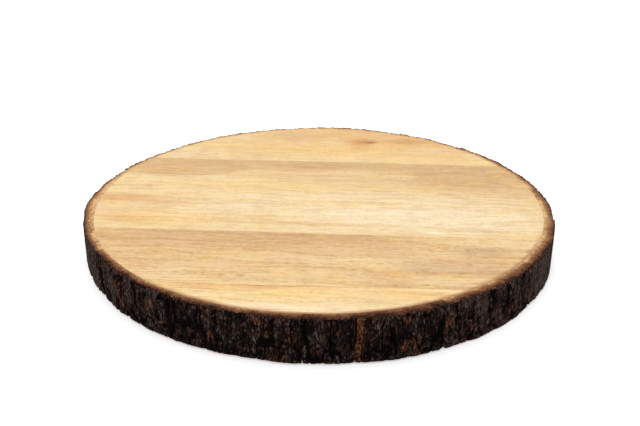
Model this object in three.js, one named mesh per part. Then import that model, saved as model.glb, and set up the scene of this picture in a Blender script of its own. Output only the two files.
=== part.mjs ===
// A round wooden board with a bark edge.
// Four staves are glued edge to edge, the panel is cut round, and strips of bark are glued round its rim with
// their grain upright. The origin is at the panel's centre on its underside, +X runs along the wood grain and
// +Z is up. All lengths are in millimetres and all angles in degrees.
import * as THREE from "three";

// Driving dimensions
const PANEL_RADIUS = 148; // the wooden disc, without its bark
const THICKNESS = 29;
const GLUE_GAP = 0.3; // room left for glue at every joint
const STAVE_JOINTS = [-117.5, -50.5, 73.3]; // where staves meet, measured across the grain from the centre
const PANEL_ARC_STEPS = 48; // flats that approximate the round rim of one stave

const BARK_INNER_RADIUS = PANEL_RADIUS + GLUE_GAP;
const BARK_STEP = 2; // degrees between the points of a strip's outline
const BARK_EDGE_DROP = 0.5; // how much thinner a strip is at its broken side edge
const BARK_EDGE_WIDTH = 0.5; // degrees over which that edge rounds off

// The staves from front to rear, with the colour of each board of wood.
const STAVES = [
  { name: "stave_front_edge", color: 0xe2b878 },
  { name: "stave_front", color: 0xd3a873 },
  { name: "stave_middle", color: 0xe6c489 },
  { name: "stave_rear", color: 0xe0ae6c },
];

// The bark strips, counter-clockwise from the front. start is where a strip begins, counted round the rim from
// -Y towards +X. thick is how far it stands out from the panel at its start, middle and end. foot is how far
// its lower edge stops above the table.
const STRIPS = [
  { start: 0, thick: [4.6, 5.0, 4.9], foot: 0.8 },
  { start: 10.5, thick: [4.9, 6.3, 5.4], foot: 0.9 },
  { start: 30, thick: [5.5, 6.4, 6.2], foot: 0.6 },
  { start: 57, thick: [6.3, 7.1, 6.9], foot: 1.4 },
  { start: 83, thick: [6.6, 6.9, 6.4], foot: 0.6 },
  { start: 108, thick: [6.0, 5.8, 6.4], foot: 1.0 },
  { start: 137, thick: [4.2, 5.4, 6.6], foot: 0.7 },
  { start: 158, thick: [4.6, 6.8, 6.2], foot: 0.5 },
  { start: 184, thick: [5.1, 4.6, 5.4], foot: 0.9 },
  { start: 210, thick: [5.0, 4.3, 4.2], foot: 0.6 },
  { start: 229, thick: [4.0, 4.8, 6.6], foot: 0.8 },
  { start: 251, thick: [4.5, 6.3, 7.8], foot: 0.5 },
  { start: 277, thick: [7.6, 6.2, 4.9], foot: 1.0 },
  { start: 303, thick: [4.4, 5.0, 4.8], foot: 1.1 },
  { start: 330, thick: [4.9, 4.3, 5.3], foot: 1.0 },
];
const BARK_COLOR = 0x2a1c17;

const rad = THREE.MathUtils.degToRad;

function woodMaterial(color) {
  return new THREE.MeshStandardMaterial({ color, roughness: 0.55, metalness: 0 });
}

// One solid: a plan outline raised through a height, standing on z = foot.
function raise(name, outline, foot, height, material) {
  const geometry = new THREE.ExtrudeGeometry(outline, {
    depth: height,
    bevelEnabled: false,
    curveSegments: PANEL_ARC_STEPS,
  });
  const mesh = new THREE.Mesh(geometry, material);
  mesh.name = name;
  mesh.position.z = foot;
  return mesh;
}

// The part of the disc between two lines across the grain. A side that is on the rim has no line.
function staveOutline(front, rear) {
  const angle = (y) => Math.asin(THREE.MathUtils.clamp(y / PANEL_RADIUS, -1, 1));
  const outline = new THREE.Shape();
  outline.absarc(0, 0, PANEL_RADIUS, angle(front), angle(rear), false);
  outline.absarc(0, 0, PANEL_RADIUS, Math.PI - angle(rear), Math.PI - angle(front), false);
  outline.closePath();
  return outline;
}

// The parabola through a strip's three thicknesses, for t from 0 at its start to 1 at its end.
function thicknessAt([atStart, atMiddle, atEnd], t) {
  return atStart * (1 - t) * (1 - 2 * t) + atMiddle * 4 * t * (1 - t) + atEnd * t * (2 * t - 1);
}

// A point on the plan at a given angle round the rim from -Y towards +X.
function rimPoint(angle, radius) {
  return new THREE.Vector2(Math.sin(rad(angle)) * radius, -Math.cos(rad(angle)) * radius);
}

// A strip's outline: its glued face along the panel, and its outer face, which rounds off at both side edges.
function stripOutline(start, end, thick) {
  const halfGap = THREE.MathUtils.radToDeg(GLUE_GAP / 2 / BARK_INNER_RADIUS);
  const first = start + halfGap;
  const last = end - halfGap;
  const steps = Math.round((last - first) / BARK_STEP);
  const angles = Array.from({ length: steps + 1 }, (_, i) => first + ((last - first) * i) / steps);
  const glued = angles.map((angle) => rimPoint(angle, BARK_INNER_RADIUS));
  const outer = [first, first + BARK_EDGE_WIDTH, ...angles.slice(1, -1), last - BARK_EDGE_WIDTH, last].map(
    (angle) => {
      const atEdge = angle === first || angle === last;
      const thickness = thicknessAt(thick, (angle - first) / (last - first)) - (atEdge ? BARK_EDGE_DROP : 0);
      return rimPoint(angle, PANEL_RADIUS + thickness);
    },
  );
  return new THREE.Shape([...outer, ...glued.reverse()]);
}

function makePanel() {
  const panel = new THREE.Group();
  STAVES.forEach(({ name, color }, i) => {
    const front = i === 0 ? -PANEL_RADIUS : STAVE_JOINTS[i - 1] + GLUE_GAP / 2;
    const rear = i === STAVES.length - 1 ? PANEL_RADIUS : STAVE_JOINTS[i] - GLUE_GAP / 2;
    panel.add(raise(name, staveOutline(front, rear), 0, THICKNESS, woodMaterial(color)));
  });
  return panel;
}

function makeBark() {
  const bark = new THREE.Group();
  const material = new THREE.MeshStandardMaterial({ color: BARK_COLOR, roughness: 0.85, metalness: 0 });
  STRIPS.forEach(({ start, thick, foot }, i) => {
    const next = STRIPS[(i + 1) % STRIPS.length].start;
    const end = next > start ? next : next + 360;
    const name = "bark_strip_" + String(i + 1).padStart(2, "0");
    bark.add(raise(name, stripOutline(start, end, thick), foot, THICKNESS - foot, material));
  });
  return bark;
}

const board = new THREE.Group();
board.add(makePanel(), makeBark());

export default board;
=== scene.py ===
# %% [markdown]
# # A round wooden board with a bark edge
#
# This board looks like a slice of a trunk, but it is made: four planed staves are glued edge to edge, the
# panel is cut to a disc, and strips of real bark are glued upright round the rim. The lesson builds it in
# that order. The measured solids come first, because every surface made here has to lie where they are.

# %% Load the frame
import math

import bpy
import numpy as np
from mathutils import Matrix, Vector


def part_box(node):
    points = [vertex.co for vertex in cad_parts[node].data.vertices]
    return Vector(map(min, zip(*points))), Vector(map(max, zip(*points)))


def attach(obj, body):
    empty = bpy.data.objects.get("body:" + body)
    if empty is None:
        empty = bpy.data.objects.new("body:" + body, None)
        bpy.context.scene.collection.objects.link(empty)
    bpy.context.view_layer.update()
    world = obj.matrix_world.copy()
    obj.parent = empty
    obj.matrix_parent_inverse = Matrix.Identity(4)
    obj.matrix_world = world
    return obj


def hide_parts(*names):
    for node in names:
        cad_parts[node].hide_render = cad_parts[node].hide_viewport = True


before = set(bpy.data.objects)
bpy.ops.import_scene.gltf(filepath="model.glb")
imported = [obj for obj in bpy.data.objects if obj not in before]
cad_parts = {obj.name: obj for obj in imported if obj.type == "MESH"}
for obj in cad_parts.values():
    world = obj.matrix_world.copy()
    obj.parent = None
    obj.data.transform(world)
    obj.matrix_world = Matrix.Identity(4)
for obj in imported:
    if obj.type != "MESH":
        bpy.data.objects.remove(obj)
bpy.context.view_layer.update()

MM = 0.001
print("frame nodes:", sorted(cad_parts))

# %% [markdown]
# ## What the frame tells us
#
# The panel's size, the joints between its staves and the outline of each bark strip are all read off the
# frame. None of them is typed in a second time, so the pieces can't drift away from the measured part.

# %% Measure the panel and its joints
STAVES = ["stave_front_edge", "stave_front", "stave_middle", "stave_rear"]
PANEL_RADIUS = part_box("stave_middle")[1].x
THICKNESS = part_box("stave_middle")[1].z
stave_boxes = [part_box(name) for name in STAVES]
joints = [(below[1].y + above[0].y) / 2 for below, above in zip(stave_boxes, stave_boxes[1:])]
stave_limits = list(zip([-PANEL_RADIUS, *joints], [*joints, PANEL_RADIUS]))
print("panel radius and thickness, mm:", round(PANEL_RADIUS / MM, 1), round(THICKNESS / MM, 1))
print("joints across the grain, mm:", [round(y / MM, 1) for y in joints])

# %% Read the outline of each bark strip
CLEAR_OF_PANEL = 1.5 * MM  # corners of a strip further out than this are on its outer face
BARK_STRIPS = sorted(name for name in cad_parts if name.startswith("bark_strip_"))


def outline_of(name):
    """A strip's plan outline, as angles and outer radii. Each corner of the node becomes an angle round
    the rim from -Y towards +X and a distance from the centre, and those well clear of the panel are the
    outer ones."""
    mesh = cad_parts[name].data
    place = np.empty(len(mesh.vertices) * 3, np.float32)
    mesh.vertices.foreach_get("co", place)
    x, y, z = place.reshape(-1, 3).astype(float).T
    middle = math.atan2(x.mean(), -y.mean())
    angle = middle + np.angle(np.exp(1j * (np.arctan2(x, -y) - middle)))
    radius = np.hypot(x, y)
    outer = radius > PANEL_RADIUS + CLEAR_OF_PANEL
    order = np.argsort(angle[outer])
    return {"angle": angle[outer][order], "radius": radius[outer][order], "foot": z.min()}


outlines = {name: outline_of(name) for name in BARK_STRIPS}
for name, outline in outlines.items():
    ends = [round(math.degrees(outline["angle"][end]), 1) for end in (0, -1)]
    print(name, "from", ends[0], "to", ends[1])

# %% [markdown]
# ## Sewing grids into closed surfaces
#
# Each face of a piece is a grid of points worked out by a formula. A piece is only finished when its faces
# share their border points, so this step joins points that coincide and drops any face that shrank to a
# line. That keeps poles closed and gives one watertight skin, which a printer or a physics tool can use as
# it is.

# %% Sew patches together
SAME_PLACE = 0.0005 * MM


def sew(name, patches, loops=()):
    """One closed mesh. A patch is a dict with points (rows, columns, 3), spread (rows, columns, 2) for its
    place on the colour map, and marks, a dict of named values per point. Each four neighbouring points of
    a grid make a face. A loop closes an open side with one many-sided face: its corners are numbered
    through all the patches in turn, and its spread is their place on the map."""
    shapes = [patch["points"].shape[:2] for patch in patches]
    starts = np.cumsum([0] + [rows * columns for rows, columns in shapes])
    points = np.concatenate([patch["points"].reshape(-1, 3) for patch in patches])
    spread = np.concatenate([patch["spread"].reshape(-1, 2) for patch in patches])
    keys, first, joined = np.unique(
        np.round(points / SAME_PLACE).astype(np.int64), axis=0, return_index=True, return_inverse=True
    )
    joined = joined.reshape(-1)

    quads = []
    for start, (rows, columns) in zip(starts, shapes):
        index = start + np.arange(rows * columns).reshape(rows, columns)
        around = [index[:-1, :-1], index[:-1, 1:], index[1:, 1:], index[1:, :-1]]
        quads.append(np.stack(around, -1).reshape(-1, 4))
    quads = np.concatenate(quads)
    kept = joined[quads] != joined[np.roll(quads, -1, axis=1)]
    whole = kept.sum(1) > 2
    corners = quads[whole][kept[whole]]
    counts = kept[whole].sum(1)

    corner_spread = spread[corners]
    for loop in loops:
        corners = np.concatenate([corners, loop["corners"]])
        corner_spread = np.concatenate([corner_spread, loop["spread"]])
        counts = np.append(counts, len(loop["corners"]))

    mesh = bpy.data.meshes.new(name)
    mesh.vertices.add(len(keys))
    mesh.vertices.foreach_set("co", points[first].astype(np.float32).ravel())
    mesh.loops.add(len(corners))
    mesh.loops.foreach_set("vertex_index", joined[corners].astype(np.int32))
    mesh.polygons.add(len(counts))
    mesh.polygons.foreach_set("loop_start", np.concatenate([[0], np.cumsum(counts)[:-1]]).astype(np.int32))
    mesh.update(calc_edges=True)
    layer = mesh.uv_layers.new(name="OFBake")
    layer.uv.foreach_set("vector", corner_spread.astype(np.float32).ravel())
    for mark in patches[0].get("marks", {}):
        values = np.concatenate([patch["marks"][mark].ravel() for patch in patches])
        attribute = mesh.attributes.new(mark, "FLOAT", "POINT")
        attribute.data.foreach_set("value", values[first].astype(np.float32))
    if mesh.validate(verbose=True):
        print(name, "needed mending")
    piece = bpy.data.objects.new(name, mesh)
    bpy.context.scene.collection.objects.link(piece)
    return piece


def soften(piece, angle):
    """Shade a piece smoothly, with a crisp edge wherever two faces meet at more than angle, in degrees."""
    piece.data.shade_smooth()
    piece.data.set_sharp_from_angle(angle=math.radians(angle))


# %% [markdown]
# ## Noise that repeats
#
# Wood and bark are irregular, but a workshop wants the same board every time the script runs. So chance
# comes from arithmetic on whole numbers: a place and a seed always give the same value.

# %% Lattice noise and cells
COLUMN_MIX, ROW_MIX, SEED_MIX, FOLD_MIX = 374761393, 668265263, 974634777, 1274126177
LOW_32_BITS = 0xFFFFFFFF
LOW_24_BITS = 0xFFFFFF


def chance(column, row, seed):
    """A repeatable number from 0 to 1 for each whole-number place: the place and the seed are multiplied
    by large odd numbers, added, and their bits folded over twice."""
    mixed = (column * COLUMN_MIX + row * ROW_MIX + seed * SEED_MIX) & LOW_32_BITS
    mixed = ((mixed ^ (mixed >> 13)) * FOLD_MIX) & LOW_32_BITS
    return ((mixed ^ (mixed >> 16)) & LOW_24_BITS) / LOW_24_BITS


def soft_step(value, low, high):
    """0 below low, 1 above high, and the cubic 3t^2 - 2t^3 between them."""
    t = np.clip((value - low) / (high - low), 0, 1)
    return t * t * (3 - 2 * t)


def ripple(x, y, seed):
    """Smooth noise from -1 to 1: chance values at the four corners of a unit square, mixed by the quintic
    6t^5 - 15t^4 + 10t^3 of the place inside it."""
    column, row = np.floor(x).astype(np.int64), np.floor(y).astype(np.int64)
    across, up = x - column, y - row
    across = across**3 * (across * (across * 6 - 15) + 10)
    up = up**3 * (up * (up * 6 - 15) + 10)
    low = chance(column, row, seed) * (1 - across) + chance(column + 1, row, seed) * across
    high = chance(column, row + 1, seed) * (1 - across) + chance(column + 1, row + 1, seed) * across
    return 2 * (low * (1 - up) + high * up) - 1


def cells(x, y, seed):
    """A crazy paving, one seed point in each unit square: gives the chance value of the nearest seed
    point, which is the same all over its cell."""
    column, row = np.floor(x).astype(np.int64), np.floor(y).astype(np.int64)
    nearest = np.full(x.shape, np.inf)
    own = np.zeros(x.shape)
    for dx in (-1, 0, 1):
        for dy in (-1, 0, 1):
            far_x = column + dx + chance(column + dx, row + dy, seed) - x
            far_y = row + dy + chance(column + dx, row + dy, seed + 1) - y
            distance = np.hypot(far_x, far_y)
            closer = distance < nearest
            own = np.where(closer, chance(column + dx, row + dy, seed + 2), own)
            nearest = np.where(closer, distance, nearest)
    return own


noise_sample = ripple(np.arange(500) / 3, np.zeros(500), 1)
print("noise runs from", round(noise_sample.min(), 2), "to", round(noise_sample.max(), 2))

# %% [markdown]
# ## The staves
#
# A stave is a plank with two straight glued edges and rounded ends, cut from the disc. The face is ruled
# by lines along the grain, from the rim on one side to the rim on the other, and a thin skin carried round
# the outline closes it. Sandpaper takes off the sharp corner at the rim and leaves the face very slightly
# wavy.

# %% Shape one stave
STAVE_CLEARANCE = 0.02 * MM  # how far each stave stays off the middle of the joint
ARRIS = 0.12 * MM  # how far the rim's corner is rounded
GRAIN_STEP = 2.5 * MM  # the size of the faces, along the grain and round the rim
WAVE_HEIGHT = 0.05 * MM
MAP_MARGIN = 0.002  # the border left free on the colour map
MAP_GAP = 2 * MM  # and the gap between two faces laid out on it


def sanded_face(x, y):
    """The height of the top face: the panel's thickness less a faint waviness, long along the grain."""
    wave = ripple(x / (70 * MM), y / (18 * MM), 31) + 0.5 * ripple(x / (25 * MM), y / (9 * MM), 32)
    return THICKNESS - WAVE_HEIGHT * (1 + wave / 1.5) / 2


def stave_outline(limits, radius, across):
    """Where the rows of a stave end on a circle of this radius, by x = sqrt(radius^2 - y^2). Rows are
    spaced by across, from 0 at the front limit to 1 at the rear one, and a limit that is the rim itself
    shrinks with the circle."""
    low, high = [math.copysign(radius, y) if abs(y) > PANEL_RADIUS - MM else y for y in limits]
    y = low + (high - low) * across
    return np.sqrt(np.maximum(radius**2 - y**2, 0)), y


def make_stave(name, front, rear):
    """Face, underside and edge skin of one stave. The rows are equal steps of angle along the rim, so
    across = (sin a - sin front) / (sin rear - sin front). The skin follows a profile from the underside
    up: a quarter round, a straight side and another quarter round. Only the rim is rounded, not the glued
    edges."""
    front = front + STAVE_CLEARANCE if front > -PANEL_RADIUS else front
    rear = rear - STAVE_CLEARANCE if rear < PANEL_RADIUS else rear
    limits = (front, rear)
    turn = np.arcsin(np.clip(np.array(limits) / PANEL_RADIUS, -1, 1))
    rows = max(8, int(np.ptp(turn) * PANEL_RADIUS / GRAIN_STEP))
    sines = np.sin(np.linspace(*turn, rows + 1))
    across = (sines - sines[0]) / (sines[-1] - sines[0])
    columns = int(2 * PANEL_RADIUS / GRAIN_STEP)
    along = np.linspace(-1, 1, columns + 1)

    def face(radius, height):
        """A grid ruled by lines along the grain, cut to a circle and lifted to a height."""
        reach, y = stave_outline(limits, radius, across)
        x = reach[:, None] * along
        y = np.repeat(y[:, None], columns + 1, axis=1)
        return np.stack([x, y, height(x, y)], -1)

    def border(grid):
        """The points round the edge of a grid, in order."""
        return np.concatenate([grid[:-1, -1], grid[-1, :0:-1], grid[:0:-1, 0], grid[0, :]])

    quarter = np.radians([0, 30, 60, 90])
    inset = ARRIS * np.concatenate([1 - np.sin(quarter), 1 - np.cos(quarter)])
    lift = ARRIS * np.concatenate([1 - np.cos(quarter), 1 - np.sin(quarter)])
    rings = []
    for step in range(len(inset)):
        top_half = step >= len(quarter)
        if top_half:
            height = lambda x, y: sanded_face(x, y) - lift[step]
        else:
            height = lambda x, y: 0 * x + lift[step]
        rings.append(border(face(PANEL_RADIUS - inset[step], height)))
    skin = np.stack(rings)
    skin = np.concatenate([skin, skin[:, :1]], axis=1)

    top = face(PANEL_RADIUS - ARRIS, sanded_face)
    under = face(PANEL_RADIUS - ARRIS, lambda x, y: 0 * x)[:, ::-1]
    patches = [{"points": grid, "spread": stave_spread(grid, place, limits)}
               for place, grid in (("top", top), ("under", under), ("skin", skin))]
    piece = sew(name, patches)
    soften(piece, 40)
    return piece


def stave_spread(grid, place, limits):
    """Where a face lies on the colour map, which is a sheet as wide as the disc: the face along its upper
    part, the underside below it, and the edge skin rolled out along its foot."""
    width = 2 * PANEL_RADIUS
    depth = limits[1] - limits[0]
    sheet_height = 2 * depth + 2 * THICKNESS + 4 * MAP_GAP
    usable = 1 - 2 * MAP_MARGIN
    if place == "skin":
        steps = np.linalg.norm(np.diff(grid, axis=1), axis=2).mean(0)
        run = np.concatenate([[0], np.cumsum(steps)]) / steps.sum()
        u = np.repeat(run[None, :], grid.shape[0], axis=0)
        v = grid[..., 2] / sheet_height
        return np.stack([MAP_MARGIN + usable * u, MAP_MARGIN + v], -1)
    base = THICKNESS + MAP_GAP if place == "under" else THICKNESS + depth + 3 * MAP_GAP
    u = MAP_MARGIN + usable * (grid[..., 0] / width + 0.5)
    v = (base + grid[..., 1] - limits[0]) / sheet_height
    return np.stack([u, v], -1)


staves = {name: make_stave(name + "_wood", *limits) for name, limits in zip(STAVES, stave_limits)}
for name, piece in staves.items():
    print(name, "faces:", len(piece.data.polygons))

# %% [markdown]
# ## The bark
#
# Bark splits as the tree swells. Narrow cracks wander up through it, parting and meeting again round long
# plates; each plate is ribbed with fibres, and flakes have fallen from it. The relief is a depth below the
# crests. They follow the frame's outline, and swell past it by less than half a millimetre in places,
# because a bark edge is never as straight as the measured one. Each strip came from another place on the
# tree, so it has its own seed and lean, and one of three characters.

# %% Describe the relief
BARK_COLUMN = 0.33 * MM  # the size of the faces, along the rim
BARK_ROW = 0.4 * MM  # and up the bark
LEAST_BARK = 1.6 * MM  # the bark left under the deepest crack
CREST_LEVEL = 0.95  # mm taken off the relief, so that the highest plates reach the crest line

# Plate width and crack depth in mm, and how strongly ribs and flakes show.
CHARACTERS = {
    "plated": {"plate": 3.6, "crack": 2.0, "rib": 0.9, "flake": 0.8},
    "smooth": {"plate": 4.4, "crack": 1.3, "rib": 0.7, "flake": 0.8},
    "ribbed": {"plate": 2.3, "crack": 1.2, "rib": 1.1, "flake": 0.6},
}
# Strip by strip round the rim: its character, the lean of its grain, how rusty it is, how far the pale inner
# bark reaches across its sawn face, and its painted light: how much lighter its outer face is painted to
# stand in for the light that falls on it, highest on the strips round the left and right ends (below 0 is
# darker).
STRIP_LOOKS = [
    ("smooth", 0.02, 0.1, 0.38, -0.04),
    ("plated", -0.04, 0.25, 0.36, -0.06),
    ("ribbed", 0.08, 0.2, 0.92, 0.1),
    ("ribbed", -0.06, 0.1, 1.6, 0.32),
    ("plated", 0.05, 0.15, 1.9, 0.14),
    ("ribbed", 0.1, 0.1, 1.7, 0.05),
    ("plated", -0.06, 0.3, 2.7, 0.0),
    ("plated", 0.03, 0.1, 2.7, 0.05),
    ("ribbed", -0.05, 0.25, 2.7, 0.0),
    ("smooth", 0.07, 0.2, 2.6, 0.05),
    ("plated", -0.09, 0.15, 2.2, 0.0),
    ("ribbed", 0.04, 0.2, 2.3, 0.12),
    ("plated", 0.2, 0.2, 2.5, 0.34),
    ("plated", 0.12, 0.3, 0.84, 0.08),
    ("smooth", -0.03, 0.2, 0.66, -0.06),
]


def bark_depth(s, z, look, lean, seed):
    """Depth below the crests in mm, for a place s along the rim and z up, in mm. Cracks and finer splits
    follow the lines where slow noise, stretched up the trunk, passes through zero. To them are added a
    step of its own for each long cell, ribs from folded noise, fibres, small flakes and grit. s and z are
    divided by the size of each pattern in mm."""
    bend = 1.2 * ripple(s / 13, z / 19, seed) + 0.4 * ripple(s / 3.5, z / 7, seed + 1)
    q = s + lean * z + bend
    plate = look["plate"]
    line = np.abs(ripple(q / plate, z / (4.5 * plate), seed + 2))
    line = line + 0.07 * ripple(q / 0.6, z / 1.4, seed + 3)
    crack = look["crack"] * (1 - soft_step(line, -0.02, 0.24))
    fine_line = np.abs(ripple(q / (0.6 * plate), z / (1.8 * plate), seed + 4))
    split = 0.7 * (1 - soft_step(fine_line, 0, 0.2))
    long_cell = cells(q / (1.1 * plate), z / (2.6 * plate), seed + 5)
    small_cell = cells(q / 1.5, z / 3.4, seed + 8)
    step = 0.8 * long_cell + 0.5 * look["flake"] * small_cell
    folded = np.abs(ripple(q / 1.3, z / 12, seed + 11))
    rib = look["rib"] * (0.55 * folded + 0.25 * ripple(q / 0.62, z / 5, seed + 12))
    flake = 0.5 * look["flake"] * soft_step(ripple(q / 2.6, z / 2.2, seed + 13), 0.25, 0.5)
    grit = 0.16 * ripple(s / 0.75, z / 0.9, seed + 14)
    return np.clip(crack + split + step + rib + flake + grit - CREST_LEVEL, 0, None)


# %% [markdown]
# ## One strip
#
# The strip's section is a tall box: the foot, the rough outer face, the sawn top and the glued face. The
# outer face is the relief. The saw leaves the tough inner bark almost level with the wood, but the brittle
# outer bark crumbles, so the sawn face falls away towards the outside. The marks tell the finish what a
# point is: how high it stands in the relief, plus the strip's painted light, which the finish turns into
# painted shade in the cracks and a painted highlight on the crests; whether it was sawn, how far across
# the bark it lies and whether it is rusty.

# %% Shape one strip
CRUMBLE = 0.8 * MM  # how far the sawn top can drop at its outer edge
FOOT_CRUMBLE = 0.15 * MM  # and how far the foot can rise
LUMP = 0.45 * MM  # how far slow noise swells the outer face; finer noise adds half as much
EDGE_ROUND = 0.3 * MM  # how far the outer face draws in at its upper edge
SAW_CUT = 0.05 * MM  # what the saw takes off the whole of a sawn face
GLUE_LINE = 0.05 * MM  # what is left of the glue between the panel and the bark
LUMP_SEED = 7  # one for the whole rim, so that neighbouring strips swell together
CREST_TONE = 0.88  # the relief mark of a crest, before the strip's painted light is added
CRACK_SHADE_DEPTH = 2.4  # mm of depth over which the relief mark falls by 1: deeper cracks are painted darker, as painted shade on top of the bark's own dark colour
INNER_SHARE = 0.1  # how far along the sawn face's colours the bark at the glue already is
FACE_MAP_WIDTH = 0.86  # the part of the colour map's width that the four long faces take
FACE_MAP_MARGIN = 0.003


def on_rim(angle, radius, height):
    """Points from an angle round the rim, a distance from the centre and a height."""
    return np.stack([np.sin(angle) * radius, -np.cos(angle) * radius, height + 0 * angle], -1)


def make_strip(number, name):
    """One strip: four faces on a shared row of angles, and two flat side edges. The outer radius is the
    crest line less the relief, where the crest line is the frame's outline plus slow noise along the
    rim."""
    outline = outlines[name]
    kind, lean, rust, reach, painted_light = STRIP_LOOKS[number]
    look = CHARACTERS[kind]
    seed = 100 + 30 * number
    first, last = outline["angle"][0], outline["angle"][-1]
    length = (last - first) * PANEL_RADIUS
    columns = int(length / BARK_COLUMN)
    angle = np.linspace(first, last, columns + 1)
    s = angle * PANEL_RADIUS / MM
    lump = ripple(s / 11, 0.5, LUMP_SEED) + 0.5 * ripple(s / 4.5, 0.5, LUMP_SEED + 1)
    crest = np.interp(angle, outline["angle"], outline["radius"]) + LUMP * lump
    glued = PANEL_RADIUS + GLUE_LINE
    outer_rows = int((THICKNESS - outline["foot"]) / BARK_ROW)

    def sawn_drop(across, crumble):
        """How far a sawn face draws back: hardly at the glue, and by up to about crumble towards the
        outside."""
        rough = 0.5 + 0.5 * ripple(s / 1.7, 6 * across, seed + 15)
        grain = 0.06 * MM * (1 + ripple(s / 0.7, across * 9, seed + 16))
        crumbled = crumble * rough * soft_step(across, 0.5, 1.05)
        return SAW_CUT + crumbled + grain * soft_step(across, 0.2, 0.6)

    def outside(rise):
        """The outer face at a share of the strip's height: radius, height and depth of relief in mm. The
        relief is shallower near the foot and near the top."""
        low = outline["foot"] + sawn_drop(1.0, FOOT_CRUMBLE)
        high = THICKNESS - sawn_drop(1.0, CRUMBLE)
        height = low + (high - low) * rise
        depth = bark_depth(s, height / MM, look, lean, seed)
        depth = depth * (0.55 + 0.45 * soft_step(height - low, 0, 3 * MM))
        depth = depth * (0.35 + 0.65 * soft_step(high - height, 0, 3.5 * MM))
        uneven = 0.7 + 0.3 * ripple(s / 1.1, rise, seed + 17)
        draw_in = EDGE_ROUND * (1 - soft_step(high - height, 0, 1.2 * MM)) * uneven
        radius = np.maximum(crest - depth * MM - draw_in, glued + LEAST_BARK)
        return radius, height, depth

    rises = np.linspace(0, 1, outer_rows + 1)
    rows = [outside(rise) for rise in rises]
    outer = np.stack([on_rim(angle, radius, height) for radius, height, depth in rows])
    depth = np.stack([row[2] for row in rows])

    def sawn(edge_radius, level, sign, crumble, count):
        """A sawn face, from the glue outwards, in count steps. It ends on the outer face's own edge."""
        grid, share = [], []
        for across in np.linspace(0, 1, count + 1):
            radius = glued + (edge_radius - glued) * across
            grid.append(on_rim(angle, radius, level - sign * sawn_drop(across, crumble)))
            share.append((radius - glued) / (crest - glued))
        return np.stack(grid), np.clip(np.stack(share), 0, 1)

    top, top_share = sawn(rows[-1][0], THICKNESS, 1, CRUMBLE, 16)
    foot, foot_share = sawn(rows[0][0], outline["foot"], -1, FOOT_CRUMBLE, 10)
    top, top_share = top[::-1], top_share[::-1]
    glue = np.stack([top[-1] * (1 - t) + foot[0] * t for t in np.linspace(0, 1, 4)])

    run = (s - s[0]) / (s[-1] - s[0])
    bands = {
        "top": (top, top_share, 0.605, 0.72),
        "foot": (foot, foot_share, 0.0, 0.1),
        "glue": (glue, np.zeros(glue.shape[:2]), 0.725, 1.0),
        "outer": (outer, np.ones_like(depth), 0.105, 0.60),
    }
    patches = []
    for band, (grid, share, low, high) in bands.items():
        v = np.repeat(np.linspace(low, high, grid.shape[0])[:, None], columns + 1, axis=1)
        u = np.repeat(run[None, :], grid.shape[0], axis=0)
        here = np.ones(grid.shape[:2])
        height = grid[..., 2] / MM
        patch_depth = depth if band == "outer" else 0 * here
        patches.append({
            "points": grid,
            "spread": FACE_MAP_MARGIN + np.stack([FACE_MAP_WIDTH * u, (1 - 2 * FACE_MAP_MARGIN) * v], -1),
            "marks": {
                # relief: painted shade, deeper is darker, lifted all over by the strip's painted light
                "relief": np.clip(CREST_TONE + painted_light - patch_depth / CRACK_SHADE_DEPTH, 0, 1.2),
                "sawn": 0 * here if band == "outer" else here,
                "across": (INNER_SHARE + (1 - INNER_SHARE) * share) ** reach,
                "rust": rust_mark(s * here, height, rust, number, seed),
            },
        })
    loops = side_edges(patches, columns)
    piece = sew(name + "_skin", patches, loops)
    soften(piece, 55)
    return piece


TORN_STRIP = 1  # the second strip, counted from 0


def rust_mark(s, z, amount, number, seed):
    """How rusty a point is, from 0 up: patches of noise taller than wide. One strip has a torn edge as
    well, where a band of inner bark shows from top to bottom."""
    patch = ripple(s / 6, z / 9, seed + 18) + 0.5 * ripple(s / 2, z / 4, seed + 19)
    mark = soft_step(patch, 0.75 - 0.9 * amount, 1.3 - 0.5 * amount)
    if number == TORN_STRIP:
        torn = s - s.min() + 0.7 * ripple(s / 2, z / 5, seed + 20)
        mark = np.maximum(mark, 1.25 * (1 - soft_step(torn, 3.5, 5.5)))
    return mark


SIDE_MAP_STARTS = (0.88, 0.945)  # where the two side edges lie on the colour map
SIDE_MAP_WIDTH = 0.055
DEEPEST_BARK = 9 * MM


def side_edges(patches, columns):
    """The two broken side edges of a strip, each one flat many-sided face round its section."""
    top, foot, glue, outer = patches
    sizes = [patch["points"].shape[0] * (columns + 1) for patch in patches]
    starts = np.cumsum([0, *sizes])
    order = [(1, foot), (3, outer), (0, top), (2, glue)]
    loops = []
    for column, left in zip((0, columns), SIDE_MAP_STARTS):
        corners, spread = [], []
        for place, patch in order:
            rows = np.arange(patch["points"].shape[0] - 1)
            corners.append(starts[place] + rows * (columns + 1) + column)
            points = patch["points"][rows, column]
            depth = (np.hypot(points[:, 0], points[:, 1]) - PANEL_RADIUS) / DEEPEST_BARK
            rise = points[:, 2] / THICKNESS
            spread.append(np.stack([left + SIDE_MAP_WIDTH * depth, 0.01 + 0.5 * rise], -1))
        corners, spread = np.concatenate(corners), np.concatenate(spread)
        if column > 0:  # the far edge is seen from the other side, so its corners run the other way
            corners, spread = corners[::-1], spread[::-1]
        loops.append({"corners": corners, "spread": spread})
    return loops


strips = {name: make_strip(number, name) for number, name in enumerate(BARK_STRIPS)}
print("bark faces:", sum(len(piece.data.polygons) for piece in strips.values()))

# %% [markdown]
# ## Writing finishes
#
# A finish here is a chain of small steps: take the place in space, stretch it along the grain, look up
# some noise, turn that into a colour. The helper below adds the shader nodes for each step and hands back
# the result, so a finish reads from top to bottom like a recipe. All of them use object coordinates, which
# are plain metres.

# %% A helper for shader recipes
LIGHT_LEVEL = 1.12  # how much brighter than its own colour the studio light makes the board's face


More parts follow.
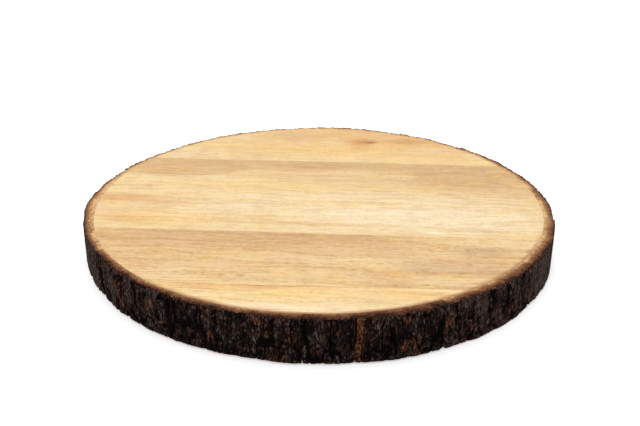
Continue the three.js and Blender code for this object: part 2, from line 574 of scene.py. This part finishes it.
def tone(red, green, blue):
    """A colour as it should look under the studio light, from 0 to 255, turned into the surface's own
    linear colour: the screen curve is undone, and then the brightness of the light is divided out."""
    share = np.array([red, green, blue]) / 255
    linear = np.where(share > 0.04045, ((share + 0.055) / 1.055) ** 2.4, share / 12.92)
    return (*np.clip(linear / LIGHT_LEVEL, 0, 1), 1.0)


class Finish:
    """A material under construction. feed and surface fill in sockets. Every other method adds a step to
    the recipe, which is one shader node or two, and returns its output."""

    def __init__(self, name):
        """A new material with its shader, and the place in space that every recipe starts from."""
        self.material = bpy.data.materials.new(name)
        self.material.use_nodes = True
        self.tree = self.material.node_tree
        self.shader = self.tree.nodes["Principled BSDF"]
        self.place = self.add("TexCoord", {}, "Object")

    def feed(self, socket, value):
        """Link a node's output to a socket, or set the socket to a plain value."""
        if isinstance(value, bpy.types.NodeSocket):
            self.tree.links.new(value, socket)
        else:
            socket.default_value = value

    def add(self, kind, inputs, output=0, **settings):
        """A new node, with its settings made and its inputs fed, gives the output asked for."""
        node = self.tree.nodes.new("ShaderNode" + kind)
        for setting, value in settings.items():
            setattr(node, setting, value)
        for socket, value in inputs.items():
            self.feed(node.inputs[socket], value)
        return node.outputs[output]

    def surface(self, **values):
        """Fill in the sockets of the shader, which decide how the surface meets the light."""
        for socket, value in values.items():
            self.feed(self.shader.inputs[socket.replace("_", " ")], value)

    def mark(self, name):
        """A value that the piece itself carries at each point."""
        return self.add("Attribute", {}, "Fac", attribute_name=name)

    def stretch(self, vector, x, y, z):
        """A place times a factor along each axis. A large factor makes a pattern fine."""
        return self.add("VectorMath", {0: vector, 1: (x, y, z)}, operation="MULTIPLY")

    def noise(self, vector, detail=2.0, roughness=0.5):
        """Cloudy noise about 0.5."""
        inputs = {"Vector": vector, "Scale": 1.0, "Detail": detail, "Roughness": roughness}
        return self.add("TexNoise", inputs, "Fac")

    def calc(self, operation, first, second=0.0, third=0.0):
        """One piece of arithmetic on up to three values."""
        return self.add("Math", {0: first, 1: second, 2: third}, operation=operation)

    def vary(self, value, noise, amount, middle=0.5):
        """A value swayed by noise: value + (noise - middle) * amount."""
        return self.calc("MULTIPLY_ADD", self.calc("SUBTRACT", noise, middle), amount, value)

    def level(self, value, low, high, start=0.0, end=1.0):
        """start below low, end above high, and a soft step between them."""
        return self.add(
            "MapRange",
            {"Value": value, "From Min": low, "From Max": high, "To Min": start, "To Max": end},
            "Result",
            interpolation_type="SMOOTHSTEP",
        )

    def mix(self, share, low, high, blend="MIX"):
        """low where share is 0, high where it is 1, and a blend of the two between."""
        return self.add("Mix", {0: share, 6: low, 7: high}, 2, data_type="RGBA", blend_type=blend)

    def ramp(self, value, stops):
        """The colour at a value, blended between stops of (value, colour)."""
        node = self.tree.nodes.new("ShaderNodeValToRGB")
        self.feed(node.inputs[0], value)
        for place, _ in stops[1:-1]:
            node.color_ramp.elements.new(place)
        for element, (place, colour) in zip(node.color_ramp.elements, stops):
            element.position = place
            element.color = colour
        return node.outputs[0]

    def bump(self, height, distance, strength=1.0):
        """A relief for the light alone, which doesn't move the surface."""
        return self.add("Bump", {"Height": height, "Distance": distance, "Strength": strength}, "Normal")


# %% [markdown]
# ## Wood
#
# Each stave has its own character, but all four are the same pale hardwood, so one recipe with a few choices
# makes them. The grain runs along X. Broad bands are the growth rings seen lengthways, thin lines the finer
# layers within them, short dark dashes the pores, and a soft ripple across the grain is where the fibres
# wave. On top of that lie the marks that no noise gives: a knot, streaks of resin, a darker band along a
# joint. Those are listed one by one, so they stay where they are if a joint moves.

# %% Tones of the wood
TONES = {
    "cream": tone(254, 236, 200),
    "pale": tone(250, 222, 167),
    "gold": tone(249, 211, 146),
    "tan": tone(233, 195, 142),
    "tan_pale": tone(240, 204, 150),
    "tan_deep": tone(214, 168, 114),
    "brown": tone(212, 168, 115),
    "orange": tone(222, 156, 88),
    "grey": tone(205, 170, 128),
    "pink": tone(248, 212, 168),
    "blush": tone(238, 194, 152),
    "honey": tone(251, 209, 132),
    "amber": tone(232, 172, 104),
    "stain": tone(178, 132, 92),
    "umber": tone(190, 130, 80),
    "knot": tone(140, 80, 48),
    "dark": tone(158, 104, 64),
}

# %% Mix the wood
THREAD_LIGHT = (1.053, 1.087, 1.14, 1)  # what the colour is multiplied by on a pale fibre
THREAD_DARK = (0.92, 0.87, 0.79, 1)  # and on a dark one
STAIN_INSIDE = 3.2 * MM  # how far in from the rim the bark has stained the wood
STAIN_OUTSIDE = 0.2 * MM  # and how far past it the stain reaches its full strength
STAINED_SIDE = (0.3, -0.95, 0)  # the way from the centre to where the stain is strongest


def make_wood(name, seed, light, deep, curl, pores, figure, marks):
    """The wood of one stave. light and deep are the tones of its bands, curl, pores and figure how strong
    the waves, the pores and the fine grain are. A mark is (x, y, half length, half width, tone, strength,
    softness), the first four in mm: an ellipse with a ragged edge, which runs through the whole
    thickness."""
    wood = Finish(name)
    shift = (seed * 1.37, seed * 0.71, seed * 2.3)
    moved = wood.add("VectorMath", {0: wood.place, 1: shift}, operation="ADD")
    sway = wood.noise(wood.stretch(moved, 9, 26, 12), 1.5)
    small_sway = wood.noise(wood.stretch(moved, 45, 120, 60), 1.0)
    offset = wood.vary(0.0, sway, 0.012)
    offset = wood.vary(offset, small_sway, 0.0022)
    sideways = wood.add("CombineXYZ", {"Y": offset})
    grain = wood.add("VectorMath", {0: moved, 1: sideways}, operation="ADD")

    # A stretch factor is about how many times a metre the pattern repeats along X, Y and Z.
    band = wood.noise(wood.stretch(grain, 5, 48, 34), 2.0, 0.55)
    line = wood.noise(wood.stretch(grain, 16, 380, 160), 3.0, 0.6)
    fibre = wood.noise(wood.stretch(grain, 65, 850, 700), 3.0, 0.65)
    pore = wood.noise(wood.stretch(grain, 190, 2100, 900), 1.0, 0.5)
    wave = wood.noise(wood.stretch(moved, 120, 45, 40), 2.0, 0.55)
    speckle = wood.noise(wood.stretch(moved, 420, 520, 500), 2.0, 0.6)
    blush = wood.noise(wood.stretch(grain, 55, 120, 90), 3.0, 0.6)

    share = wood.vary(0.36, band, 1.2)
    share = wood.vary(share, line, 0.8)
    share = wood.vary(share, wave, curl)
    colour = wood.mix(wood.level(share, 0.0, 1.0), TONES[light], TONES[deep])

    for x, y, half_length, half_width, shade, strength, softness in marks:
        middle = wood.add("VectorMath", {0: wood.place, 1: (x * MM, y * MM, 0)}, operation="SUBTRACT")
        sideways = wood.add("CombineXYZ", {"Y": offset})
        swayed = wood.add("VectorMath", {0: middle, 1: sideways}, operation="ADD")
        scaled = wood.stretch(swayed, 1 / (half_length * MM), 1 / (half_width * MM), 0)
        reach = wood.add("VectorMath", {0: scaled}, "Value", operation="LENGTH")
        reach = wood.vary(reach, line, 0.55 * softness + 0.1)
        reach = wood.vary(reach, wave, 0.7 * softness)
        inside = wood.level(reach, 1 + softness / 2, 1 - softness / 2, 0, strength)
        colour = wood.mix(inside, colour, TONES[shade])

    colour = wood.mix(wood.level(blush, 0.5, 0.68, 0, 0.4), colour, TONES["blush"])
    colour = wood.mix(wood.level(blush, 0.48, 0.32, 0, 0.4), colour, TONES["honey"])
    thread = wood.vary(0.4, line, 1.7 * figure)
    thread = wood.vary(thread, fibre, 3.4 * figure)
    thread = wood.vary(thread, speckle, 1.8 * figure)
    thread = wood.mix(wood.level(thread, 0.0, 1.0), THREAD_LIGHT, THREAD_DARK)
    colour = wood.mix(1.0, colour, thread, "MULTIPLY")

    radius = wood.add("VectorMath", {0: wood.stretch(wood.place, 1, 1, 0)}, "Value", operation="LENGTH")
    radius = wood.vary(radius, line, 0.003)
    near = wood.add("VectorMath", {0: wood.place, 1: STAINED_SIDE}, "Value", operation="DOT_PRODUCT")
    at_rim = wood.level(radius, PANEL_RADIUS - STAIN_INSIDE, PANEL_RADIUS + STAIN_OUTSIDE)
    stain = wood.calc("MULTIPLY", at_rim, wood.level(near, 0.06, 0.12, 0.02, 0.95))
    colour = wood.mix(stain, colour, TONES["stain"])

    dash = wood.level(pore, 0.6, 0.7)
    room = wood.level(line, 0.42, 0.62, 0.25, 1.0)
    dash = wood.calc("MULTIPLY", wood.calc("MULTIPLY", dash, room), pores)
    colour = wood.mix(dash, colour, TONES["dark"])

    height = wood.calc("SUBTRACT", wood.calc("MULTIPLY", fibre, 0.6), wood.calc("MULTIPLY", dash, 0.8))
    wood.surface(
        Base_Color=colour,
        Roughness=wood.level(line, 0.2, 0.8, 0.5, 0.62),
        Normal=wood.bump(height, 0.00009, 0.5),
        Specular_IOR_Level=0.28,
    )
    return wood.material


# %% [markdown]
# ## Where each stave is marked
#
# The rear stave is golden, with a dark knot and an orange tail. The middle one is the palest, and darker
# along its rear joint. The front stave is tan with coarse pores, and the last piece is a golden offcut
# with resin along its joint.

# %% Finish the four staves
WOODS = {
    "stave_rear": ("wood_rear", 3, "pale", "tan", 0.9, 0.25, 0.8, [
        (20, 136, 75, 17, "amber", 0.45, 1.3),
        (-10, 92, 95, 9, "gold", 0.6, 1.4),
        (75, 112, 50, 18, "amber", 0.55, 1.4),
        (-32, 128, 22, 9, "brown", 0.3, 1.2),
        (64, 121, 15, 5, "umber", 0.5, 1.5),
        (5, 118, 8, 8, "pink", 0.8, 0.9),
        (-18, 116, 4, 8, "pink", 0.6, 0.9),
        (-38, 113, 9, 7, "pink", 0.5, 1.0),
        (-20, 103, 75, 12, "honey", 0.5, 1.4),
        (25, 109, 8, 9, "amber", 0.6, 1.5),
        (27, 121, 13, 6, "orange", 0.65, 1.5),
        (31, 119.5, 7, 4.5, "umber", 0.7, 1.6),
        (34, 118.5, 4, 2.6, "knot", 0.6, 1.6),
        (-94, 91, 4, 7, "orange", 0.35, 1.6),
        (92, 84, 40, 10, "gold", 0.5, 1.3),
        (-20, 122, 100, 24, "amber", 0.14, 1.5),
        (65, 114, 26, 5, "amber", 0.16, 1.3),
        (75, 103, 16, 5, "cream", 0.25, 1.3),
        (-102, 87, 20, 9, "cream", 0.25, 1.3),
        (62, 81, 60, 5, "honey", 0.35, 1.3),
    ]),
    "stave_middle": ("wood_middle", 11, "pale", "tan", 0.7, 0.3, 1.0, [
        (95, 14, 85, 30, "tan", 0.4, 1.5),
        (-115, 57, 60, 17.5, "brown", 0.62, 0.25),
        (-40, 64, 60, 11, "brown", 0.6, 0.5),
        (15, 68, 70, 9, "brown", 0.6, 0.7),
        (110, 50, 60, 26, "brown", 0.75, 0.9),
        (70, 63, 60, 12, "brown", 0.35, 0.8),
        (20, 44, 60, 12, "tan", 0.5, 1.2),
        (-115, 52, 22, 10, "orange", 0.3, 1.0),
        (-50, 45, 28, 6, "tan", 0.4, 1.4),
        (55, 46, 12, 5, "pale", 0.5, 0.9),
        (-135, -3, 24, 6, "orange", 0.45, 0.9),
        (-100, -8, 18, 3.5, "brown", 0.5, 0.9),
        (-50, -7, 30, 1.2, "brown", 0.45, 1.0),
        (-122, -37, 16, 5.5, "orange", 0.5, 1.0),
        (-10, -45, 150, 4, "tan", 0.45, 1.2),
        (12, -2, 7, 2.0, "orange", 0.35, 1.0),
        (-100, -33, 34, 12, "honey", 0.45, 1.2),
        (75, -22, 75, 16, "cream", 0.6, 1.1),
        (85, 4, 55, 12, "cream", 0.3, 1.3),
        (-10, -14, 90, 12, "cream", 0.35, 1.4),
        (15, 2, 75, 8, "cream", 0.3, 1.4),
        (-10, -36.5, 50, 2.6, "brown", 0.4, 1.3),
        (98, -40, 22, 2.4, "grey", 0.7, 1.0),
        (72, -44.5, 10, 2.4, "cream", 0.8, 0.8),
        (15, -45, 80, 4, "cream", 0.3, 1.2),
        (95, 12, 7, 1, "brown", 0.6, 0.8),
        (105, 6, 6, 0.9, "brown", 0.6, 0.8),
        (86, 17, 6, 0.9, "brown", 0.6, 0.8),
        (-120, -7, 30, 9, "amber", 0.32, 1.3),
        (-126, -30, 20, 9, "amber", 0.16, 1.3),
        (-25, 46, 45, 6, "amber", 0.17, 1.3),
        (-45, 23, 70, 7, "honey", 0.35, 1.3),
        (25, 10, 18, 6, "cream", 0.35, 1.3),
        (80, -37, 40, 6, "cream", 0.35, 1.3),
        (25, -2, 50, 4, "honey", 0.35, 1.3),
        (126, 50, 16, 14, "grey", 0.2, 1.3),
    ]),
    "stave_front": ("wood_front", 23, "tan_pale", "tan_deep", 0.3, 0.9, 1.4, [
        (-60, -61, 95, 12, "brown", 0.6, 1.1),
        (-20, -56, 75, 8, "brown", 0.3, 1.0),
        (-15, -52.5, 85, 1.6, "dark", 0.3, 1.2),
        (120, -57, 45, 10, "pale", 0.6, 1.3),
        (85, -70, 30, 8, "pale", 0.3, 1.3),
        (102, -69, 15, 5.5, "grey", 0.75, 1.3),
        (45, -87, 40, 9, "pale", 0.6, 1.4),
        (20, -72, 60, 5, "brown", 0.12, 1.3),
        (48, -101, 8, 4, "amber", 0.5, 1.4),
        (80, -84, 9, 4, "amber", 0.45, 1.4),
        (104, -80, 14, 5, "brown", 0.45, 1.3),
        (80, -92, 30, 8, "grey", 0.6, 1.2),
        (-30, -108, 80, 8, "pale", 0.4, 1.4),
        (-64, -90, 2.4, 1.3, "dark", 0.35, 1.4),
        (50, -104, 16, 6, "brown", 0.32, 1.4),
        (-25, -56, 18, 4, "brown", 0.2, 1.3),
        (78, -107, 16, 6, "cream", 0.2, 1.3),
        (25, -68, 18, 4, "amber", 0.16, 1.3),
        (-75, -104, 16, 6, "pale", 0.3, 1.3),
        (0, -113, 18, 4, "pale", 0.35, 1.3),
        (-92, -73, 2.4, 1.3, "dark", 0.35, 1.4),
        (-38, -107, 2.8, 1.2, "dark", 0.35, 1.4),
    ]),
    "stave_front_edge": ("wood_front_edge", 37, "pale", "gold", 0.5, 0.4, 1.2, [
        (-40, -119.5, 50, 2.8, "amber", 0.6, 0.9),
        (-20, -117.9, 70, 0.5, "dark", 0.5, 0.9),
        (-50, -123.4, 28, 0.7, "dark", 0.5, 0.9),
        (-15, -127, 14, 2.2, "honey", 0.7, 0.9),
        (62, -122, 18, 2.6, "amber", 0.6, 0.9),
        (20, -124, 70, 5, "honey", 0.35, 1.3),
        (0, -136, 70, 5, "tan", 0.3, 1.3),
        (10, -145, 60, 6, "cream", 0.45, 1.4),
        (38, -129, 26, 9, "tan", 0.3, 1.3),
    ]),
}
for name, (slot_name, *choices) in WOODS.items():
    piece = staves[name]
    piece.data.materials.append(make_wood(slot_name, *choices))
    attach(piece, "root")
    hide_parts(name)
    print(name, "finished with", len(choices[-1]), "marks")

# %% [markdown]
# ## Bark
#
# Dry bark is dark in its cracks, dull brown on its flanks and grey on the crests, which weathering has
# bleached. The colour paints light and shade on top of that: the deeper a crack, the nearer to black it is
# painted, as painted shade, and the crests carry a painted purple-grey highlight and small painted glints.
# Rust-brown patches show where a flake came off. The sawn top is another matter: it runs from tan inner
# bark at the glue, through red brown, to the dark outer crust. Bark scatters light and hardly shines.

# %% Mix the bark
BARK_TONES = {
    "crack": tone(8, 4, 3),
    "flank": tone(27, 20, 17),
    "crest": tone(56, 46, 42),
    "plum_highlight": tone(92, 80, 76),
    "glint": tone(122, 104, 94),
    "maroon": tone(60, 29, 21),
    "rust": tone(126, 79, 52),
    "pith": tone(234, 194, 140),
    "inner": tone(208, 162, 112),
    "tanned": tone(160, 116, 82),
    "red_brown": tone(124, 81, 55),
    "crust": tone(48, 29, 23),
}


def make_bark(name):
    """The bark of all the strips. The marks that each strip carries drive it: relief picks the tone from
    crack to crest, which paints shade into the cracks and a highlight onto the crests, rust the reddish
    patches, and sawn and across the smooth ramp of the sawn faces."""
    bark = Finish(name)
    relief, across = bark.mark("relief"), bark.mark("across")
    rust, sawn = bark.mark("rust"), bark.mark("sawn")
    patchy = bark.noise(bark.stretch(bark.place, 80, 80, 50), 1.0)
    coarse = bark.noise(bark.stretch(bark.place, 400, 400, 110), 3.0, 0.6)
    fine = bark.noise(bark.stretch(bark.place, 1250, 1250, 480), 3.0, 0.65)
    hue = bark.noise(bark.stretch(bark.place, 460, 460, 140), 2.0, 0.6)

    high = bark.vary(relief, coarse, 0.9)
    high = bark.vary(high, fine, 2.3)
    high = bark.vary(high, patchy, 0.8, 0.56)
    # Painted shade and highlight: low relief goes near black as shade in the cracks, high relief to the
    # lighter crest tone as a highlight, over the bark's own dark brown.
    outside = bark.ramp(high, [(0.0, BARK_TONES["crack"]), (0.5, BARK_TONES["crack"]),
                               (0.9, BARK_TONES["flank"]), (1.0, BARK_TONES["crest"])])
    warm = bark.calc("MULTIPLY", bark.level(hue, 0.5, 0.66), bark.level(high, 0.5, 0.9))
    outside = bark.mix(bark.calc("MULTIPLY", warm, 0.5), outside, BARK_TONES["maroon"])
    # A painted highlight: a purple grey on the highest crests, where they catch the light.
    crest_highlight = bark.calc("MULTIPLY", bark.level(hue, 0.46, 0.3), bark.level(high, 0.8, 1.15))
    outside = bark.mix(bark.calc("MULTIPLY", crest_highlight, 0.8), outside, BARK_TONES["plum_highlight"])
    # Painted glints: small light specks on the highest crests, where a slight gloss would catch the light.
    glint = bark.calc("MULTIPLY", bark.level(fine, 0.56, 0.7), bark.level(high, 0.9, 1.3))
    outside = bark.mix(bark.calc("MULTIPLY", glint, 0.6), outside, BARK_TONES["glint"])
    rusty = bark.calc("MULTIPLY", rust, bark.level(high, 0.35, 0.9, 0.1, 1.0))
    shade = bark.mix(bark.level(fine, 0.42, 0.72), BARK_TONES["maroon"], BARK_TONES["rust"])
    outside = bark.mix(bark.calc("MULTIPLY", rusty, 0.7), outside, shade)

    edge = bark.vary(across, coarse, 0.8)
    edge = bark.vary(edge, fine, 1.3)
    edge = bark.vary(edge, patchy, 0.7)
    cut = bark.ramp(edge, [(0.0, BARK_TONES["pith"]), (0.1, BARK_TONES["inner"]), (0.3, BARK_TONES["tanned"]),
                           (0.62, BARK_TONES["red_brown"]), (1.0, BARK_TONES["crust"])])
    colour = bark.mix(sawn, outside, cut)
    bark.surface(
        Base_Color=colour,
        Roughness=0.9,
        Specular_IOR_Level=0.03,
        Normal=bark.bump(bark.calc("ADD", fine, coarse), 0.0005, 0.8),
    )
    return bark.material


bark_finish = make_bark("bark")
for name, piece in strips.items():
    piece.data.materials.append(bark_finish)
    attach(piece, "root")
    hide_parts(name)
print(len(strips), "strips finished with", bark_finish.name)

# %% [markdown]
# ## The studio
#
# The board lies on a white table under soft light, so nearly every shadow is filled. A white world lights
# it from all round, a broad lamp overhead gives the wood its brightness, and a weaker one in front picks
# out the bark. The table glows a little by itself, which keeps it white right up to the board.

# %% Lay the table
FLOOR_SIZE = 14.0
TABLE_GLOW = 0.38
half_floor = FLOOR_SIZE / 2
floor_mesh = bpy.data.meshes.new("floor")
floor_corners = [(-half_floor, -half_floor, 0), (half_floor, -half_floor, 0),
                 (half_floor, half_floor, 0), (-half_floor, half_floor, 0)]
floor_mesh.from_pydata(floor_corners, [], [(0, 1, 2, 3)])
floor = bpy.data.objects.new("floor", floor_mesh)
bpy.context.scene.collection.objects.link(floor)
floor_finish = Finish("table")
floor_finish.surface(
    Base_Color=(0.88, 0.88, 0.88, 1),
    Roughness=1.0,
    Specular_IOR_Level=0.0,
    Emission_Color=(1, 1, 1, 1),
    Emission_Strength=TABLE_GLOW,
)
floor_mesh.materials.append(floor_finish.material)

# %% Light the board
WORLD_LEVEL = 0.56
world = bpy.data.worlds.new("studio")
world.use_nodes = True
world.node_tree.nodes["Background"].inputs["Color"].default_value = (1, 1, 1, 1)
world.node_tree.nodes["Background"].inputs["Strength"].default_value = WORLD_LEVEL
bpy.context.scene.world = world


def add_lamp(name, place, aim, size, power):
    """A square soft lamp at a place, turned towards a point, with a power in watts."""
    data = bpy.data.lights.new(name, "AREA")
    data.size = size
    data.energy = power
    lamp = bpy.data.objects.new(name, data)
    lamp.location = place
    direction = Vector(aim) - Vector(place)
    lamp.rotation_euler = direction.to_track_quat("-Z", "Y").to_euler()
    bpy.context.scene.collection.objects.link(lamp)
    return lamp


overhead = add_lamp("overhead", place=(0, 0.3, 1.7), aim=(0, 0, 0), size=1.4, power=16)
front = add_lamp("front", place=(-0.2, -1.3, 0.9), aim=(0, -0.1, 0), size=0.9, power=7)
print("lamp powers, W:", overhead.data.energy, front.data.energy)
bpy.context.scene.view_settings.view_transform = "Standard"

# %% [markdown]
# ## The camera
#
# The camera looks down on the board from the front, a little over half a metre away, close enough for the
# near edge to look larger than the far one.

# %% Place the camera
AZIMUTH = math.radians(3.2)
ELEVATION = math.radians(24.31)
DISTANCE = 0.5814  # from the point that it looks at
ROLL = 0.0044  # radians
target = Vector((1.87 * MM, -19.73 * MM, 28.9 * MM))
away = Vector((
    math.sin(AZIMUTH) * math.cos(ELEVATION),
    -math.cos(AZIMUTH) * math.cos(ELEVATION),
    math.sin(ELEVATION),
))
camera_data = bpy.data.cameras.new("camera")
camera_data.lens = 50
camera_data.sensor_width = 36
camera = bpy.data.objects.new("camera", camera_data)
turned = away.to_track_quat("Z", "Y").to_matrix() @ Matrix.Rotation(ROLL, 3, "Z")
camera.matrix_world = Matrix.Translation(target + away * DISTANCE) @ turned.to_4x4()
bpy.context.scene.collection.objects.link(camera)
bpy.context.scene.camera = camera
print("camera at, mm:", [round(v / MM) for v in camera.location])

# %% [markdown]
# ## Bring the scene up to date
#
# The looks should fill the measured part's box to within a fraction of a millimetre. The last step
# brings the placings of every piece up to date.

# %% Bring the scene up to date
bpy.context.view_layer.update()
